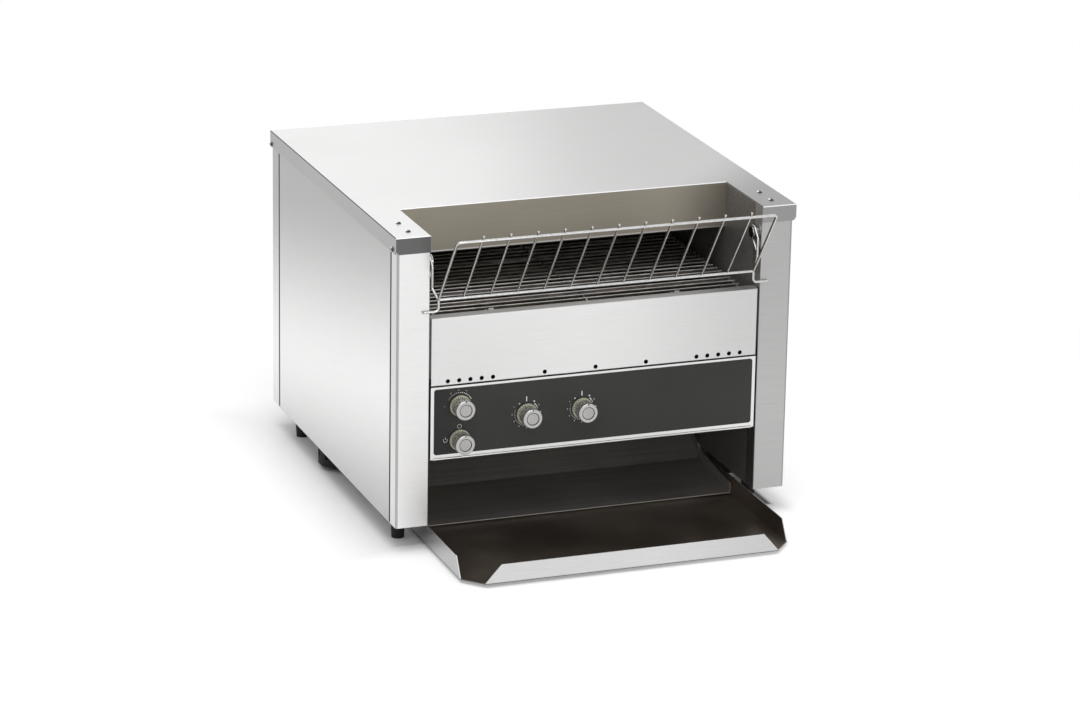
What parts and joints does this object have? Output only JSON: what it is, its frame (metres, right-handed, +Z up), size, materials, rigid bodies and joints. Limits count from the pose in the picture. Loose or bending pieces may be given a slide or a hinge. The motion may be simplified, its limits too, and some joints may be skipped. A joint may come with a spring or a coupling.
{
  "type": "conveyor toaster",
  "caption": "Countertop conveyor toaster: bread rides a wire belt past heaters, drops down a chute and slides out onto a front tray.",
  "frame": {"origin": "middle of the footprint, on the surface that the feet stand on", "axes": "+X to the right of someone who faces the controls, +Y towards the rear panel, +Z up"},
  "size_m": [0.474, 0.596, 0.3776],
  "materials": {
    "brushed_sheet": "brushed",
    "chamber_sheet": "heat darkened",
    "tray_sheet": "brushed",
    "bright_wire": "polished",
    "turned_steel": "turned",
    "bearing_brass": "satin",
    "panel_black": "satin",
    "knob_silver": "silver lacquer",
    "control_plastic": "matte",
    "motor_paint": "satin",
    "heater_sheath": "oxidised",
    "mineral_slab": "matte",
    "foot_rubber": "matte",
    "thermostat_ceramic": "matte"
  },
  "bodies": {
    "housing": {"left_front_post": "brushed_sheet", "right_front_post": "brushed_sheet", "left_rear_post": "brushed_sheet", "right_rear_post": "brushed_sheet", "left_side_panel": "brushed_sheet", "right_side_panel": "brushed_sheet", "rear_panel": "brushed_sheet", "top_cover": "brushed_sheet", "front_cover": "brushed_sheet", "control_bezel": "brushed_sheet", "left_chamber_wall": "chamber_sheet", "right_chamber_wall": "chamber_sheet", "feed_baffle": "chamber_sheet", "upper_reflector": "chamber_sheet", "lower_reflector": "chamber_sheet", "toast_chute": "chamber_sheet", "control_box": "chamber_sheet", "base_pan": "chamber_sheet", "motor_bracket": "chamber_sheet", "tray_rails": "chamber_sheet", "conveyor_belt": "bright_wire", "drive_chain": "turned_steel", "rack_studs": "turned_steel", "housing_screws": "turned_steel", "foot_screws": "turned_steel", "shaft_bushings": "bearing_brass", "fascia": "panel_black", "speed_pot": "control_plastic", "mode_switch": "control_plastic", "top_heat_switch": "control_plastic", "bottom_heat_switch": "control_plastic", "contactor": "control_plastic", "terminal_block": "control_plastic", "fan_frame": "control_plastic", "fan_cowl": "control_plastic", "cord_bushing": "control_plastic", "gearmotor": "motor_paint", "upper_heaters": "heater_sheath", "lower_heaters": "heater_sheath", "upper_insulation": "mineral_slab", "feet": "foot_rubber", "high_limit_thermostat": "thermostat_ceramic"},
    "drive_shaft": {"drive_axle": "turned_steel", "drive_sprockets": "turned_steel", "driven_sprocket": "turned_steel"},
    "idler_shaft": {"idler_axle": "turned_steel", "idler_sprockets": "turned_steel"},
    "motor_output": {"motor_pinion": "turned_steel"},
    "fan": {"fan_rotor": "control_plastic"},
    "speed_control": {"speed_knob": "knob_silver", "speed_shaft": "turned_steel"},
    "mode_control": {"mode_knob": "knob_silver", "mode_shaft": "turned_steel"},
    "top_heat_control": {"top_heat_knob": "knob_silver", "top_heat_shaft": "turned_steel"},
    "bottom_heat_control": {"bottom_heat_knob": "knob_silver", "bottom_heat_shaft": "turned_steel"},
    "rack": {"loading_rack": "bright_wire"},
    "tray": {"toast_tray": "tray_sheet"}
  },
  "joints": [
    {"name": "drive_shaft_spin", "type": "hinge", "parent": "housing", "child": "drive_shaft", "pos_m": [0, -0.133, 0.24267], "axis": [1, 0, 0], "continuous": true},
    {"name": "idler_shaft_spin", "type": "hinge", "parent": "housing", "child": "idler_shaft", "pos_m": [0, 0.205, 0.24267], "axis": [1, 0, 0], "continuous": true},
    {"name": "motor_output_spin", "type": "hinge", "parent": "housing", "child": "motor_output", "pos_m": [0.213, -0.093, 0.15], "axis": [1, 0, 0], "continuous": true},
    {"name": "fan_spin", "type": "hinge", "parent": "housing", "child": "fan", "pos_m": [-0.2042, 0.127, 0.038], "axis": [0, 0, 1], "continuous": true},
    {"name": "speed_turn", "type": "hinge", "parent": "housing", "child": "speed_control", "pos_m": [-0.1593, -0.178, 0.167], "axis": [0, 1, 0], "range_deg": [0, 270]},
    {"name": "mode_turn", "type": "hinge", "parent": "housing", "child": "mode_control", "pos_m": [-0.1593, -0.178, 0.1272], "axis": [0, -1, 0], "range_deg": [0, 90]},
    {"name": "top_heat_turn", "type": "hinge", "parent": "housing", "child": "top_heat_control", "pos_m": [-0.081, -0.178, 0.1496], "axis": [0, -1, 0], "range_deg": [0, 300]},
    {"name": "bottom_heat_turn", "type": "hinge", "parent": "housing", "child": "bottom_heat_control", "pos_m": [-0.0157, -0.178, 0.1496], "axis": [0, -1, 0], "range_deg": [0, 300]},
    {"name": "rack_swing", "type": "hinge", "parent": "housing", "child": "rack", "pos_m": [0, -0.153, 0.331], "axis": [-1, 0, 0], "range_deg": [0, 100]},
    {"name": "tray_slide", "type": "slide", "parent": "housing", "child": "tray", "axis": [0, -1, 0], "range_m": [0, 0.08]}
  ],
  "couplings": [
    {"joint": "idler_shaft_spin", "follows": "drive_shaft_spin", "ratio": 1},
    {"joint": "motor_output_spin", "follows": "drive_shaft_spin", "ratio": 2}
  ]
}
